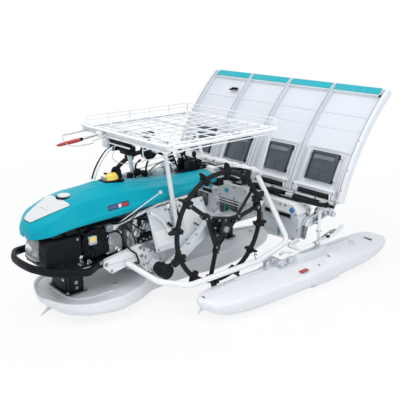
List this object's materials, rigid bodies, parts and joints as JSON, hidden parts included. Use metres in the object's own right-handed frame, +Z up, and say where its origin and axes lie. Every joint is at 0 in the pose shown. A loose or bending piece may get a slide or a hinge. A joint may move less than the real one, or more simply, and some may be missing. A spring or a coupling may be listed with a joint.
{
  "type": "walk-behind rice transplanter",
  "caption": "Walk-behind rice transplanter with floats, lugged wheels, a sliding seedling tray, crank-driven planting arms and a spare seedling rack.",
  "frame": {"origin": "on the ground, under the middle of the overall length and of the width", "axes": "+X the machine's left, -Y the direction of travel, +Z up"},
  "size_m": [1.26, 2.1425, 0.9411],
  "materials": {
    "teal": "gloss teal",
    "white_plastic": "gloss",
    "red_plastic": "gloss",
    "yellow_plastic": "gloss",
    "black_metal": "satin",
    "black_plastic": "matte",
    "lens": "clear and bright",
    "heat_metal": "matt",
    "white_paint": "gloss",
    "cast_aluminium": "as cast",
    "light_grey_paint": "satin",
    "black_rubber": "matt",
    "float_grey": "satin",
    "float_white": "gloss",
    "steel": "bright",
    "tray_white": "gloss",
    "dark_grey_plastic": "matt"
  },
  "bodies": {
    "machine": {"hood": "teal", "filler_cap": "white_plastic", "hood_latch": "yellow_plastic", "engine_block": "black_metal", "engine_shroud": "black_plastic", "recoil_starter": "black_plastic", "headlight": "lens", "muffler": "heat_metal", "engine_mount": "black_metal", "front_bumper": "black_plastic", "centre_float_brackets": "black_metal", "engine_rails": "white_paint", "transmission_case": "cast_aluminium", "main_frame": "white_paint", "swing_cases": "light_grey_paint", "centre_float": "float_grey", "side_float_left": "float_white", "side_float_right": "float_white", "side_guard_left": "white_paint", "side_guard_right": "white_paint", "float_brackets": "white_paint", "cross_bar": "white_paint", "seedling_rack": "white_paint", "rack_upper_rail": "steel", "front_lever": "red_plastic", "row_marker": "white_plastic", "side_covers": "light_grey_paint", "rack_posts": "white_paint", "hood_rails": "white_paint", "hose": "black_rubber", "planting_beam": "black_metal", "lower_rail": "white_paint", "planting_cases": "light_grey_paint", "handlebar": "white_paint", "handle_grips": "black_rubber", "tray_support": "white_paint", "control_panel": "black_plastic"},
    "wheel_left": {"wheel_left": "black_rubber"},
    "wheel_right": {"wheel_right": "black_rubber"},
    "tray": {"seedling_tray": "tray_white", "tray_dividers": "tray_white", "press_plates": "dark_grey_plastic", "tray_top_strips": "teal"},
    "crank_left": {"planting_crank_left": "steel"},
    "crank_right": {"planting_crank_right": "steel"},
    "arm_outer_left": {"planting_arm_outer_left": "cast_aluminium"},
    "arm_inner_left": {"planting_arm_inner_left": "cast_aluminium"},
    "arm_inner_right": {"planting_arm_inner_right": "cast_aluminium"},
    "arm_outer_right": {"planting_arm_outer_right": "cast_aluminium"}
  },
  "joints": [
    {"name": "wheel_left_spin", "type": "hinge", "parent": "machine", "child": "wheel_left", "pos_m": [0.3, -0.182, 0.325], "axis": [1, 0, 0], "continuous": true},
    {"name": "wheel_right_spin", "type": "hinge", "parent": "machine", "child": "wheel_right", "pos_m": [-0.3, -0.182, 0.325], "axis": [1, 0, 0], "continuous": true},
    {"name": "tray_traverse", "type": "slide", "parent": "machine", "child": "tray", "axis": [1, 0, 0], "range_m": [-0.14, 0.14]},
    {"name": "crank_left_spin", "type": "hinge", "parent": "machine", "child": "crank_left", "pos_m": [0.3, 0.393, 0.262], "axis": [1, 0, 0], "continuous": true},
    {"name": "crank_right_spin", "type": "hinge", "parent": "machine", "child": "crank_right", "pos_m": [-0.3, 0.393, 0.262], "axis": [1, 0, 0], "continuous": true},
    {"name": "arm_outer_left_pivot", "type": "hinge", "parent": "crank_left", "child": "arm_outer_left", "pos_m": [0.45, 0.393, 0.312], "axis": [1, 0, 0], "continuous": true},
    {"name": "arm_inner_left_pivot", "type": "hinge", "parent": "crank_left", "child": "arm_inner_left", "pos_m": [0.15, 0.393, 0.312], "axis": [1, 0, 0], "continuous": true},
    {"name": "arm_outer_right_pivot", "type": "hinge", "parent": "crank_right", "child": "arm_outer_right", "pos_m": [-0.45, 0.393, 0.312], "axis": [1, 0, 0], "continuous": true},
    {"name": "arm_inner_right_pivot", "type": "hinge", "parent": "crank_right", "child": "arm_inner_right", "pos_m": [-0.15, 0.393, 0.312], "axis": [1, 0, 0], "continuous": true}
  ],
  "couplings": [
    {"joint": "crank_right_spin", "follows": "crank_left_spin", "ratio": 1},
    {"joint": "arm_outer_left_pivot", "follows": "crank_left_spin", "ratio": -1},
    {"joint": "arm_inner_left_pivot", "follows": "crank_left_spin", "ratio": -1},
    {"joint": "arm_outer_right_pivot", "follows": "crank_left_spin", "ratio": -1},
    {"joint": "arm_inner_right_pivot", "follows": "crank_left_spin", "ratio": -1}
  ]
}
